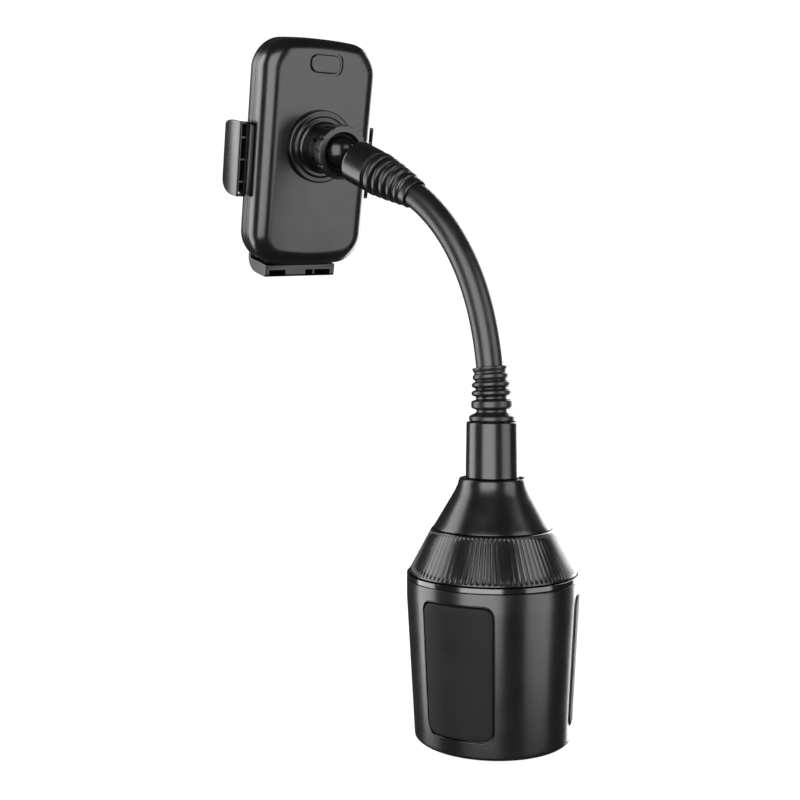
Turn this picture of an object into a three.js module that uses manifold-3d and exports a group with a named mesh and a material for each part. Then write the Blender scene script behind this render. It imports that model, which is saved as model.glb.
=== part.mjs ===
// A car phone mount: a cup-holder base that spreads three grip pads, a gooseneck
// that bends, and a spring-arm phone cradle on a ball joint.
// Millimetres, +Z up. The origin is the centre of the base's underside, and the
// phone's screen faces -Y.

import * as THREE from 'three';
import { mergeVertices } from 'three/addons/utils/BufferGeometryUtils.js';
import Module from 'manifold-3d';

const wasm = await Module();
wasm.setup();

// ---------------------------------------------------------------- dimensions
const GAP = 0.3; // between neighbouring pieces
const ROUND = 36; // sides of a large turned piece
const SMALL_ROUND = 10; // sides of a screw or pin
const COIL_SIDES = 4;
const COIL_STEPS = 8; // per turn of a spring
const NECK_STEP = 7.5; // longest straight stretch of a bent piece

// Base
const CUP_FOOT_R = 33.0;
const CUP_TOP_R = 36.5;
const CUP_TAPER_TOP_Z = 60;
const CUP_TOP_Z = 67.6;
const CUP_WALL = 2.2;
const CUP_FLOOR_Z = 6;
const TRIM_Z = [67.9, 69.9];
const TRIM_INNER_R = 30;
const DIAL_Z = [70.2, 88.7];
const DIAL_R = [35.8, 25.85];
const CAP_Z = [89, 110];
const POST_R = 8;
const POST_TOP_Z = 109.7;
const SPIGOT_R = 5;

// Grip pads and the scroll plate that drives them
const PAD_FIRST_ANGLE = 27; // degrees from +X
const PAD_Z = [8, 62];
const PAD_HALF_WIDTH = [14.2, 15.6]; // at the bottom and the top
const PAD_BACK_X = 29.1; // flat back of the rubber pad, from the base's axis
const PAD_CORNER = 5;
const PIN_R = 1.6;
const PIN_START_X = 18; // pin's distance from the axis with the pads drawn in
const PAD_TRAVEL = 8;
const DIAL_TURN = 100; // degrees of dial for the pads' whole travel
const SCROLL_Z = [62.4, 65.6];
const DIAL_SCREW_X = 12.1;

// Neck: its centreline starts upright at the sleeve's top and leans as
// lean(l) = a l + b l^2 degrees, up to the length where it runs straight
const SLEEVE_TOP_Z = 134;
const SLEEVE_R = [11.35, 11.0];
const NECK_HEADING = 19.7; // degrees that the neck's plane is turned from -Y
const NECK_LEAN_A = 0.2053;
const NECK_LEAN_B = 0.0025;
const NECK_STRAIGHT_FROM = 121.7;
const COVER_R = 5.9;
const COVER_BORE_R = 4.3;
const CORE_R = 4.0;
const HINGE_AT = [34, 56, 78, 100]; // lengths along the neck
const LINK_RELIEF = 7.6; // degrees, half of the largest bend at a hinge
const UPPER_BOOT_L = [113, 138.4];
const FERRULE_L = [138.7, 151.9];
const FERRULE_R = 10;
const BALL_L = 163.4;
const BALL_R = 8;

// Cradle: x to the user's right, y out of its back face, z up, from the middle
// of the back face
const CRADLE_PITCH = -16.3; // degrees about X
const CRADLE_ROLL = 3.8; // degrees about its own y
const BALL_STANDOFF = 19;
const BALL_Z = 5;
const CASE_W = 61.8;
const CASE_H = 110.4;
const CASE_CORNER = 13.6;
const CASE_ARCH = 2.6;
const CASE_DEPTH = 19.2;
const CASE_SPLIT = 12; // depth of the joint between the two covers
const CASE_FILLET = 7.9;
const WALL = 2;
const FLANGE_R = 17.5;
const NUT_R = 12.75;
const ARM_Z = -4; // height of the arms' middle, and of the pinion
const ARM_HALF_H = 18;
const RACK_DEPTH = [9, 13];
const MODULE = 0.8;
const PINION_TEETH = 12;
const BUTTON_Z = 44;
const LATCH_PIVOT = [-5.2, 16]; // y, z
const SCREW_XZ = [[17, 39], [-17, 39], [17, -39], [-17, -39]];
const FOOT_HALF_W = 19.8;

// ---------------------------------------------------------------- materials
const plastic = new THREE.MeshStandardMaterial({ color: 0x1b1b1d, roughness: 0.38 });
const gloss = new THREE.MeshStandardMaterial({ color: 0x101011, roughness: 0.12 });
const rubber = new THREE.MeshStandardMaterial({ color: 0x202021, roughness: 0.7 });
const inner = new THREE.MeshStandardMaterial({ color: 0x2b2b2e, roughness: 0.55 });
const steel = new THREE.MeshStandardMaterial({ color: 0x9a9da1, roughness: 0.35, metalness: 1 });

// ---------------------------------------------------------------- solids
const rad = THREE.MathUtils.degToRad;

// Merge shared vertices, drop empty triangles and turn the faces outwards.
function closed(geometry) {
  const plain = geometry.clone();
  plain.deleteAttribute('normal');
  plain.deleteAttribute('uv');
  const merged = mergeVertices(plain, 1e-4);
  const p = merged.attributes.position;
  const source = merged.index.array;
  const index = [];
  let volume = 0;
  const [a, b, c] = [new THREE.Vector3(), new THREE.Vector3(), new THREE.Vector3()];
  for (let i = 0; i < source.length; i += 3) {
    const [u, v, w] = [source[i], source[i + 1], source[i + 2]];
    if (u === v || v === w || w === u) continue;
    index.push(u, v, w);
    a.fromBufferAttribute(p, u);
    b.fromBufferAttribute(p, v);
    c.fromBufferAttribute(p, w);
    volume += a.dot(b.cross(c));
  }
  if (volume < 0) index.reverse();
  merged.setIndex(index);
  return merged;
}

function toManifold(geometry) {
  const g = closed(geometry);
  return new wasm.Manifold(new wasm.Mesh({
    numProp: 3,
    vertProperties: new Float32Array(g.attributes.position.array),
    triVerts: new Uint32Array(g.index.array),
  }));
}

function fromManifold(solid) {
  const mesh = solid.getMesh();
  const g = new THREE.BufferGeometry();
  g.setAttribute('position', new THREE.BufferAttribute(mesh.vertProperties, 3));
  g.setIndex(Array.from(mesh.triVerts));
  return g;
}

const combine = (operation) => (first, ...others) => fromManifold(
  others.reduce((solid, other) => solid[operation](toManifold(other)), toManifold(first)),
);
const join = combine('add');
const cut = combine('subtract');
const common = combine('intersect');

// Turned solid about Z from [radius, height] points.
function lathe(profile, sides = ROUND) {
  const points = profile.map(([r, z]) => new THREE.Vector2(r, z));
  if (profile[0][0] > 0) points.push(points[0].clone());
  return new THREE.LatheGeometry(points, sides).rotateX(Math.PI / 2);
}

const rod = (r, z0, z1, sides = SMALL_ROUND) => lathe([[0, z0], [r, z0], [r, z1], [0, z1]], sides);
const alongY = (geometry) => geometry.rotateX(-Math.PI / 2);
const alongX = (geometry) => geometry.rotateY(Math.PI / 2);

function box([x0, x1], [y0, y1], [z0, z1]) {
  const g = new THREE.BoxGeometry(x1 - x0, y1 - y0, z1 - z0);
  return g.translate((x0 + x1) / 2, (y0 + y1) / 2, (z0 + z1) / 2);
}

// Straight extrusion of [x, y] corners along Z.
function prism(points, z0, z1) {
  const shape = new THREE.Shape(points.map(([x, y]) => new THREE.Vector2(x, y)));
  const g = new THREE.ExtrudeGeometry(shape, { depth: z1 - z0, bevelEnabled: false });
  return g.translate(0, 0, z0);
}

// Corners of a four-sided outline, each rounded to the given radius.
function rounded(corners, radius, steps = 4) {
  const points = [];
  corners.forEach((corner, i) => {
    const at = new THREE.Vector2(...corner);
    const before = new THREE.Vector2(...corners[(i + 3) % 4]).sub(at).setLength(radius).add(at);
    const after = new THREE.Vector2(...corners[(i + 1) % 4]).sub(at).setLength(radius).add(at);
    const curve = new THREE.QuadraticBezierCurve(before, at, after);
    curve.getPoints(steps).forEach(({ x, y }) => points.push([x, y]));
  });
  return points;
}

// Flat-sided solid through rings of equal count, closed at both ends.
function loft(rings) {
  const count = rings[0].length;
  const index = [];
  for (let k = 0; k + 1 < rings.length; k += 1) {
    for (let i = 0; i < count; i += 1) {
      const j = (i + 1) % count;
      const [a, b] = [k * count + i, k * count + j];
      index.push(a, b, b + count, a, b + count, a + count);
    }
  }
  const flat = rings[0].map((v) => new THREE.Vector2(v.x, v.z));
  const last = (rings.length - 1) * count;
  THREE.ShapeUtils.triangulateShape(flat, []).forEach(([a, b, c]) => {
    index.push(c, b, a);
    index.push(last + a, last + b, last + c);
  });
  const g = new THREE.BufferGeometry().setFromPoints(rings.flat());
  g.setIndex(index);
  return g;
}

// Coil spring of round wire about Z.
function coil(radius, wire, z0, z1, turns) {
  class Helix extends THREE.Curve {
    getPoint(t) {
      const angle = 2 * Math.PI * turns * t;
      return new THREE.Vector3(radius * Math.cos(angle), radius * Math.sin(angle),
        THREE.MathUtils.lerp(z0 + wire, z1 - wire, t));
    }
  }
  const section = new THREE.Shape();
  for (let i = 0; i < COIL_SIDES; i += 1) {
    const angle = (2 * Math.PI * i) / COIL_SIDES;
    section[i ? 'lineTo' : 'moveTo'](wire * Math.cos(angle), wire * Math.sin(angle));
  }
  return new THREE.ExtrudeGeometry(section, { steps: turns * COIL_STEPS, extrudePath: new Helix() });
}

function add(group, name, geometry, material) {
  const mesh = new THREE.Mesh(closed(geometry), material);
  mesh.name = name;
  group.add(mesh);
  return mesh;
}

function screw(headR, headL, shankR, shankL) {
  return lathe([[0, 0], [headR, 0], [headR, headL], [shankR, headL], [shankR, headL + shankL],
    [0, headL + shankL]], SMALL_ROUND);
}

// ---------------------------------------------------------------- base
const mount = new THREE.Group();
const base = new THREE.Group();
mount.add(base);

const cupR = (z) => THREE.MathUtils.mapLinear(Math.min(z, CUP_TAPER_TOP_Z),
  0, CUP_TAPER_TOP_Z, CUP_FOOT_R, CUP_TOP_R);

// The pad's outline in the plane across its direction of travel, made solid
// along that direction, which is local +X.
function padPrism(margin, x0, x1) {
  const [low, high] = [PAD_Z[0] - margin, PAD_Z[1] + margin];
  const [foot, top] = PAD_HALF_WIDTH.map((half) => half + margin);
  const outline = rounded([[-foot, low], [foot, low], [top, high], [-top, high]], PAD_CORNER);
  const turn = new THREE.Matrix4().makeBasis(new THREE.Vector3(0, 1, 0),
    new THREE.Vector3(0, 0, 1), new THREE.Vector3(1, 0, 0));
  return prism(outline, x0, x1).applyMatrix4(turn);
}

const cupBody = lathe([
  [0, 1.8], [29.4, 1.8], [29.4, 0.4], [31.8, 0.4], [32.7, 0.8], [cupR(1.6), 1.6],
  [cupR(CUP_TAPER_TOP_Z), CUP_TAPER_TOP_Z], [CUP_TOP_R, CUP_TOP_Z],
  [CUP_TOP_R - CUP_WALL, CUP_TOP_Z], [CUP_TOP_R - CUP_WALL, CUP_TAPER_TOP_Z],
  [cupR(CUP_FLOOR_Z) - CUP_WALL, CUP_FLOOR_Z], [0, CUP_FLOOR_Z],
]);
const padAngles = [0, 1, 2].map((i) => rad(PAD_FIRST_ANGLE + 120 * i));
add(base, 'cup_shell', cut(cupBody,
  ...padAngles.map((angle) => padPrism(GAP, 24, 45).rotateZ(angle)),
  rod(1.9, 0, 8), rod(4, 0, 4.4)), plastic);
add(base, 'base_foot_pad', rod(29, 0, 1.5, ROUND), rubber);
add(base, 'base_floor_screw', screw(3.6, 2, 1.5, 12).translate(0, 0, 2.1), steel);
add(base, 'centre_post', lathe([
  [1.9, CUP_FLOOR_Z + GAP], [POST_R, CUP_FLOOR_Z + GAP], [POST_R, POST_TOP_Z],
  [SPIGOT_R + GAP, POST_TOP_Z], [SPIGOT_R + GAP, 92], [1.9, 92]], 24), inner);
add(base, 'trim_ring', lathe([
  [TRIM_INNER_R, TRIM_Z[0]], [CUP_TOP_R, TRIM_Z[0]], [CUP_TOP_R, TRIM_Z[0] + 0.7],
  [CUP_TOP_R - 0.4, TRIM_Z[1]], [TRIM_INNER_R, TRIM_Z[1]]]), gloss);
add(base, 'cone_cap', lathe([
  [25.2, CAP_Z[0]], [18.2, 100.8], [16.2, 104.2], [14.9, 107], [14.2, 109.3], [14.1, CAP_Z[1]],
  [POST_R + GAP, CAP_Z[1]], [POST_R + GAP, 101], [15.6, 101], [22.7, CAP_Z[0]]]), plastic);

// Rubber grip pads on their carriers. Each carrier's pin stands in a slot of
// the scroll plate.
padAngles.forEach((angle, i) => {
  const slide = new THREE.Group();
  slide.rotation.z = angle;
  base.add(slide);
  const outer = lathe([[0, 0], [CUP_FOOT_R + 0.4, 0], [CUP_TOP_R + 0.4, CUP_TAPER_TOP_Z],
    [CUP_TOP_R + 0.4, CUP_TOP_Z], [0, CUP_TOP_Z]]).rotateZ(-angle);
  add(slide, `grip_pad_${i + 1}`, common(outer, padPrism(0, PAD_BACK_X, 45)), rubber);
  add(slide, `pad_carrier_${i + 1}`, join(
    box([26.5, PAD_BACK_X - GAP], [-11, 11], [10, 60]),
    box([PIN_START_X - 2, 27], [-5, 5], [57, 60.5]),
    rod(PIN_R, 60, SCROLL_Z[1] - GAP).translate(PIN_START_X, 0, 0)), inner);
});

// The slot's middle line in the plate: turning the dial by an angle brings the
// point at minus that angle, further out by the pad's travel, to the pin.
function spiralSlot(startAngle) {
  const side = (offset) => Array.from({ length: 9 }, (_, k) => {
    const share = THREE.MathUtils.mapLinear(k, 0, 8, -0.06, 1.06);
    const angle = startAngle - rad(DIAL_TURN * share);
    const r = PIN_START_X + PAD_TRAVEL * share + offset;
    return [r * Math.cos(angle), r * Math.sin(angle)];
  });
  const half = PIN_R + GAP;
  return prism([...side(half), ...side(-half).reverse()], SCROLL_Z[0] - 1, SCROLL_Z[1] + 1);
}

const dialScrewAt = (i) => [DIAL_SCREW_X * Math.cos(rad(120 * i)), DIAL_SCREW_X * Math.sin(rad(120 * i))];
const dialHoles = [0, 1, 2].map((i) => rod(1.5, 60, 74).translate(...dialScrewAt(i), 0));
add(base, 'scroll_plate', cut(lathe([
  [POST_R + 0.4, SCROLL_Z[0]], [33.2, SCROLL_Z[0]], [33.2, SCROLL_Z[1]], [15.6, SCROLL_Z[1]],
  [15.6, TRIM_Z[1]], [POST_R + 0.4, TRIM_Z[1]]]), ...padAngles.map(spiralSlot), ...dialHoles), inner);
add(base, 'dial_ring', cut(lathe([
  [POST_R + 0.4, DIAL_Z[0]], [DIAL_R[0], DIAL_Z[0]], [DIAL_R[1], DIAL_Z[1]],
  [DIAL_R[1] - 2.6, DIAL_Z[1]], [DIAL_R[0] - 3.6, DIAL_Z[0] + 2.2], [POST_R + 0.4, DIAL_Z[0] + 2.2]]),
...dialHoles), plastic);
[0, 1, 2].forEach((i) => {
  add(base, `dial_screw_${i + 1}`, screw(2.6, 2.1, 1.2, 9.4).translate(...dialScrewAt(i), 60), steel);
});

// ---------------------------------------------------------------- neck
const neck = new THREE.Group();
neck.rotation.z = rad(NECK_HEADING);
mount.add(neck);

const lean = (l) => {
  const bent = THREE.MathUtils.clamp(l, 0, NECK_STRAIGHT_FROM);
  return rad(NECK_LEAN_A * bent + NECK_LEAN_B * bent * bent);
};

// Point on the centreline in the neck's own plane, which leans towards -Y.
function neckPoint(l) {
  if (l <= 0) return new THREE.Vector3(0, 0, SLEEVE_TOP_Z + l);
  const steps = Math.ceil(l);
  const point = new THREE.Vector3(0, 0, SLEEVE_TOP_Z);
  for (let i = 0; i < steps; i += 1) {
    const angle = lean((l * (i + 0.5)) / steps);
    point.add(new THREE.Vector3(0, -Math.sin(angle), Math.cos(angle)).multiplyScalar(l / steps));
  }
  return point;
}

// Turned solid whose axis follows the neck: its profile's heights are lengths
// along the centreline.
function neckLathe(profile, sides = 12) {
  const fine = [];
  const wraps = profile[0][0] > 0;
  profile.forEach((from, i) => {
    const to = profile[(i + 1) % profile.length];
    fine.push(from);
    if (!wraps && i === profile.length - 1) return;
    const parts = Math.ceil(Math.abs(to[1] - from[1]) / NECK_STEP);
    for (let k = 1; k < parts; k += 1) {
      fine.push([THREE.MathUtils.lerp(from[0], to[0], k / parts),
        THREE.MathUtils.lerp(from[1], to[1], k / parts)]);
    }
  });
  const g = lathe(fine, sides);
  const p = g.attributes.position;
  for (let i = 0; i < p.count; i += 1) {
    const [x, y, l] = [p.getX(i), p.getY(i), p.getZ(i)];
    const angle = lean(l);
    const at = neckPoint(l);
    p.setXYZ(i, x, at.y + y * Math.cos(angle), at.z + y * Math.sin(angle));
  }
  return g;
}

add(neck, 'neck_sleeve', lathe([
  [0, 93], [SPIGOT_R, 93], [SPIGOT_R, CAP_Z[1] + GAP], [SLEEVE_R[0], CAP_Z[1] + GAP],
  [SLEEVE_R[1], SLEEVE_TOP_Z - 0.5], [SLEEVE_R[1] - 0.5, SLEEVE_TOP_Z], [COVER_R + 0.4, SLEEVE_TOP_Z],
  [COVER_R + 0.4, 119], [0, 119]], 24), plastic);

const BOOT_BORE_R = COVER_R + GAP;
const LOWER_RIBS = [[7.4, 8.9, 1.5], [12.3, 8.6, 0.8], [15.9, 8.3, 0.8], [19.3, 7.7, 0.8]];
const UPPER_RIBS = [[118.6, 7.9, 0.9], [122.6, 8.5, 0.9], [126.6, 9.1, 1], [130.8, 9.6, 1], [135.2, 10.1, 1.5]];
// Rib outline: [length, tip radius, half thickness] gives four corners.
const rib = (valley) => ([l, tip, half]) => [
  [valley(l), l - half - 0.7], [tip, l - half], [tip, l + half], [valley(l), l + half + 0.7]];
add(neck, 'lower_boot', neckLathe([
  [BOOT_BORE_R, GAP], [9.9, GAP], [9.9, 2.4], [6.8, 4],
  ...LOWER_RIBS.flatMap(rib(() => 6.8)), [7.6, 22.6], [7.6, 23.4], [BOOT_BORE_R, 23.4]], 16), rubber);
const upperValley = (l) => THREE.MathUtils.mapLinear(l, ...UPPER_BOOT_L, 6.8, 8.4);
add(neck, 'upper_boot', neckLathe([
  [BOOT_BORE_R, UPPER_BOOT_L[0]], [7, UPPER_BOOT_L[0]], [7, UPPER_BOOT_L[0] + 2],
  ...UPPER_RIBS.flatMap(rib(upperValley)), [FERRULE_R, UPPER_BOOT_L[1]],
  [BOOT_BORE_R, UPPER_BOOT_L[1]]], 16), rubber);

// The gooseneck is a row of short links. Each link's ends are cut back to a
// cone, so that it can bend about the middle of the joint.
const LINK_ENDS = [-14, ...HINGE_AT];
LINK_ENDS.forEach((from, i) => {
  const isLast = i === HINGE_AT.length;
  const start = (r) => (i ? from + GAP / 2 + r * Math.tan(rad(LINK_RELIEF)) : from);
  const end = (r, last) => (isLast ? last : LINK_ENDS[i + 1] - GAP / 2 - r * Math.tan(rad(LINK_RELIEF)));
  add(neck, `gooseneck_cover_${i}`, neckLathe([
    [COVER_BORE_R, start(COVER_BORE_R)], [COVER_R, start(COVER_R)],
    [COVER_R, end(COVER_R, 130)], [COVER_BORE_R, end(COVER_BORE_R, 130)]]), rubber);
  add(neck, `gooseneck_core_${i}`, neckLathe([
    [0, start(0)], [CORE_R, start(CORE_R)], [CORE_R, end(CORE_R, 146)], [0, end(0, 146)]], 8), steel);
});

add(neck, 'end_ferrule', neckLathe([
  [CORE_R + 0.4, FERRULE_L[0]], [FERRULE_R, FERRULE_L[0]], [FERRULE_R, FERRULE_L[1] - 1.4],
  [FERRULE_R - 1.4, FERRULE_L[1]], [3.3, FERRULE_L[1]], [3.3, 147], [CORE_R + 0.4, 147]], 20), plastic);
const ballProfile = Array.from({ length: 7 }, (_, k) => {
  const angle = THREE.MathUtils.mapLinear(k, 0, 6, -Math.acos(3.6 / BALL_R), Math.PI / 2);
  return [k === 6 ? 0 : BALL_R * Math.cos(angle), BALL_L + BALL_R * Math.sin(angle)];
});
add(neck, 'ball_stud', neckLathe([
  [0, 147.6], [2.9, 147.6], [2.9, 152.2], [3.6, 152.6], ...ballProfile], 16), gloss);

// ---------------------------------------------------------------- ball joint
const pitched = new THREE.Group();
pitched.position.copy(neckPoint(BALL_L).applyAxisAngle(new THREE.Vector3(0, 0, 1), rad(NECK_HEADING)));
pitched.rotation.x = rad(CRADLE_PITCH);
mount.add(pitched);
const rolled = new THREE.Group();
rolled.rotation.y = rad(CRADLE_ROLL);
pitched.add(rolled);
const cradle = new THREE.Group();
cradle.position.set(0, -BALL_STANDOFF, -BALL_Z);
rolled.add(cradle);

const atBall = (geometry) => alongY(geometry).translate(0, 0, BALL_Z);
// Part of a circle round the ball's centre, from angles measured off the back.
const ballArc = (r, from, to) => Array.from({ length: 6 }, (_, k) => {
  const angle = rad(THREE.MathUtils.lerp(from, to, k / 5));
  return [r * Math.sin(angle), BALL_STANDOFF - r * Math.cos(angle)];
});
add(cradle, 'friction_cup', atBall(lathe([
  ...ballArc(BALL_R + 1.6, 20, 102), ...ballArc(BALL_R + GAP, 102, 20)], 18)), inner);
const socketBody = atBall(lathe([
  [0, GAP], [FLANGE_R, GAP], [FLANGE_R, 1.4], [FLANGE_R - 0.9, 2.6], [14.6, 2.6], [14.2, 3.4], [12.4, 3.4],
  [11.6, 4.2], [11.6, 16.4], [11, 17], [11, 21], [9.9, 21], [9.9, 9.1], [0, 9.1]], 24));
const fingerSlots = [0, 45, 90, 135].map((turn) => atBall(
  box([-14, 14], [-0.8, 0.8], [12, 22]).rotateZ(rad(turn + 22.5))));
const socketScrewX = [12.7, -12.7];
const socketHoles = socketScrewX.map((x) => atBall(rod(1.4, -4, 2.1)).translate(x, 0, 0));
add(cradle, 'ball_socket', cut(socketBody, ...fingerSlots, ...socketHoles), plastic);
socketScrewX.forEach((x, i) => {
  add(cradle, `socket_screw_${i + 1}`,
    alongY(screw(2.2, 1.5, 1.1, 4).translate(0, 0, -3.8)).translate(x, 0, BALL_Z), steel);
});
add(cradle, 'lock_nut', atBall(lathe([
  [11.3, 17.8], [NUT_R, 17.8], [NUT_R, 22.8], [NUT_R - 0.4, 23.2], [9.5, 23.2], [8.4, 21.5],
  [11.3, 21.3]], 24)), plastic);

// ---------------------------------------------------------------- case
// Face outline at an inset: a rounded rectangle whose top and bottom are arched.
function caseOutline(inset) {
  const [halfW, halfH] = [CASE_W / 2 - inset, CASE_H / 2 - CASE_ARCH - inset];
  const r = Math.max(CASE_CORNER - inset, 1);
  const points = [];
  [[1, 1], [-1, 1], [-1, -1], [1, -1]].forEach(([sx, sz], k) => {
    for (let i = 0; i <= 4; i += 1) {
      const angle = rad(90 * k + 22.5 * i);
      points.push([sx * (halfW - r) + r * Math.cos(angle), sz * (halfH - r) + r * Math.sin(angle)]);
    }
    if (k % 2 === 0) {
      for (let i = 1; i < 4; i += 1) {
        points.push([sx * (halfW - r) * (1 - 0.5 * i), sz * halfH]);
      }
    }
  });
  return points.map(([x, z]) => [x, z + Math.sign(z) * CASE_ARCH * (1 - (x / halfW) ** 2)]);
}
const ring = (inset, depth) => caseOutline(inset).map(([x, z]) => new THREE.Vector3(x, -depth, z));

const backRings = (wall, rim) => {
  const rings = [ring(wall, rim)];
  for (let k = 0; k <= 3; k += 1) {
    const angle = rad(30 * k);
    const r = CASE_FILLET - wall;
    rings.push(ring(wall + r * (1 - Math.cos(angle)), CASE_FILLET - r * Math.sin(angle)));
  }
  return loft(rings);
};

// Pieces of the case that both covers share out between them.
const pill = (halfW, halfH, y0, y1, z) => alongY(prism(
  rounded([[-halfW, -halfH], [halfW, -halfH], [halfW, halfH], [-halfW, halfH]], halfH * 0.9), y0, y1))
  .translate(0, 0, z);
const armSlot = box([-40, 40], [-RACK_DEPTH[1] - 0.8, -7.6], [ARM_Z - ARM_HALF_H + 0.6, ARM_Z + ARM_HALF_H - 0.6]);
const footTongue = { halfW: 12, depth: [13, 15], top: -26 };
const footSlot = box([-12.4, 12.4], [-15.4, -12.6], [-70, -50]);
const latchHole = alongX(rod(1.3, -9, 9)).translate(0, ...LATCH_PIVOT);
const screwBore = (r, y0, y1) => SCREW_XZ.map(([x, z]) => alongY(rod(r, y0, y1)).translate(x, 0, z));
const latchLugs = [1, -1].map((side) => box(
  side > 0 ? [3.4, 5.6] : [-5.6, -3.4], [-7.4, -1], [LATCH_PIVOT[1] - 2.4, LATCH_PIVOT[1] + 2.4]));

add(cradle, 'back_cover', cut(
  join(
    cut(backRings(0, CASE_SPLIT), backRings(WALL, CASE_SPLIT + 1)),
    ...screwBore(3, -CASE_SPLIT, -1), ...latchLugs,
  ),
  armSlot, pill(8.1, 4.4, -5, 2, BUTTON_Z), pill(9.4, 5.4, -0.8, 2, BUTTON_Z), latchHole,
  ...screwBore(1.4, -13, -4), ...socketScrewX.map((x) => atBall(rod(1.4, -5, 2)).translate(x, 0, 0)),
), plastic);

const padRecess = alongY(prism(rounded([[-24.3, -46.3], [24.3, -46.3], [24.3, 46.3], [-24.3, 46.3]], 7),
  -21, -18.5));
const springPosts = [1, -1].map((side) => box([-1, 1], [-17.6, -8.2],
  side > 0 ? [ARM_Z + 11.6, ARM_Z + 17] : [ARM_Z - 17, ARM_Z - 11.6]));
add(cradle, 'front_cover', cut(
  join(
    cut(loft([ring(0, CASE_SPLIT + GAP), ring(0, 17), ring(0.6, 18.6), ring(1.5, CASE_DEPTH)]),
      loft([ring(WALL, CASE_SPLIT - 1), ring(WALL, 17.2)])),
    ...screwBore(3.8, -17.6, -14), ...springPosts, alongY(rod(3, -17.6, -13.6)).translate(0, 0, ARM_Z),
  ),
  armSlot, footSlot, padRecess, ...screwBore(1.4, -20, -13), ...screwBore(2.6, -20, -16.6),
  alongY(rod(1.8, -17.4, -13)).translate(0, 0, ARM_Z),
), plastic);
add(cradle, 'front_pad', alongY(prism(
  rounded([[-24, -46], [24, -46], [24, 46], [-24, 46]], 6.7), -20, -18.8)), rubber);
SCREW_XZ.forEach(([x, z], i) => {
  add(cradle, `case_screw_${i + 1}`,
    alongY(screw(2.2, 1.4, 1.1, 11).translate(0, 0, -18.3)).translate(x, 0, z), steel);
});

// ---------------------------------------------------------------- arms
const PITCH = Math.PI * MODULE;
const PITCH_R = (MODULE * PINION_TEETH) / 2;
// The left arm is the right arm turned half a turn about the pinion's axis.
const armSides = { right: 0, left: Math.PI };
const armFrame = {};
Object.entries(armSides).forEach(([side, turn]) => {
  armFrame[side] = new THREE.Group();
  armFrame[side].position.z = ARM_Z;
  armFrame[side].rotation.y = turn;
  cradle.add(armFrame[side]);
});

// Outline seen from above: convex outside, with a hook at the front.
const armOutline = () => {
  const shape = new THREE.Shape();
  shape.moveTo(32, -12);
  shape.lineTo(32, -31.6);
  shape.lineTo(29.8, -33.2);
  shape.lineTo(29.8, -34.2);
  shape.lineTo(30.4, -34.9);
  shape.lineTo(34, -35.2);
  shape.quadraticCurveTo(38.8, -30, 37.2, -12);
  return shape.getPoints(6).map(({ x, y }) => [x, y]);
};
// Rack bar with its teeth pointing down at the pinion, in x and height.
function rackBar() {
  const points = [[-22, PITCH_R + 5.2], [-22, PITCH_R + 0.9]];
  for (let k = -8; k < 4; k += 1) {
    const middle = (k + 0.5) * PITCH;
    points.push([middle - 0.72, PITCH_R + 0.9], [middle - 0.36, PITCH_R - 0.5]);
    points.push([middle + 0.36, PITCH_R - 0.5], [middle + 0.72, PITCH_R + 0.9]);
  }
  points.push([13, PITCH_R + 0.9], [13, PITCH_R + 5.2]);
  return alongY(prism(points.map(([x, z]) => [x, -z]), -RACK_DEPTH[1], -RACK_DEPTH[0]));
}
const ratchetNotches = Array.from({ length: 8 }, (_, k) => box(
  [-17.5 + 2 * k, -16.5 + 2 * k], [-9.6, -8], [PITCH_R + 1.6, PITCH_R + 4.4]));
const pocketCells = [[-17, -11.1], [-10.3, -0.4], [0.4, 10.1], [10.9, 17]];
const armSolid = () => join(
  cut(prism(armOutline(), -ARM_HALF_H, ARM_HALF_H),
    ...pocketCells.map((cell) => box([33.6, 36.2], [-17.5, -11], cell))),
  cut(box([12, 33.2], [-13.4, -8.8], [-16.8, 16.8]), box([11, 27], [-14, -8], [-10.6, -PITCH_R + 1])),
  cut(rackBar(), ...ratchetNotches),
);
Object.keys(armSides).forEach((side) => {
  add(armFrame[side], `${side}_arm`, armSolid(), plastic);
  add(armFrame[side], `${side}_arm_pad`, box([30.4, 31.7], [-31, -21], [-16, 16]), rubber);
  add(armFrame[side], `arm_spring_${side}`,
    alongX(coil(1.9, 0.3, 1.3, 11.7, 5)).translate(0, -11.1, -14.2), steel);
});

function pinionOutline() {
  const points = [];
  for (let k = 0; k < PINION_TEETH; k += 1) {
    const middle = (360 / PINION_TEETH) * k;
    [[PITCH_R - 1.1, -8.2], [PITCH_R + 0.5, -3], [PITCH_R + 0.5, 3], [PITCH_R - 1.1, 8.2]].forEach(([r, a]) => {
      points.push([r * Math.cos(rad(middle + a)), r * Math.sin(rad(middle + a))]);
    });
  }
  return points;
}
add(cradle, 'pinion', cut(
  alongY(prism(pinionOutline(), -RACK_DEPTH[1], -RACK_DEPTH[0])),
  alongY(rod(1.8, -14, -8)),
).translate(0, 0, ARM_Z), inner);
add(cradle, 'pinion_axle', alongY(rod(1.5, -17.1, -7.4)).translate(0, 0, ARM_Z), steel);

// ---------------------------------------------------------------- latch
add(cradle, 'release_button', join(
  pill(7.8, 4.1, -2.6, 0.5, BUTTON_Z),
  pill(9.6, 4.3, -3.3, -2.3, BUTTON_Z),
  alongY(rod(2, -3.9, -3)).translate(0, 0, BUTTON_Z)), plastic);
add(cradle, 'latch_lever', cut(
  join(box([-3, 3], [-6.2, -4.2], [2.5, 48]), box([-1, 1], [-8.7, -6], [2.5, 5]),
    alongX(rod(2.2, -3, 3)).translate(0, ...LATCH_PIVOT)),
  latchHole), inner);
add(cradle, 'latch_pin', alongX(rod(1, -5.6, 5.6)).translate(0, ...LATCH_PIVOT), steel);
add(cradle, 'button_spring', alongY(coil(2.4, 0.3, -16.9, -6.5, 5)).translate(0, 0, BUTTON_Z), steel);

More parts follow.
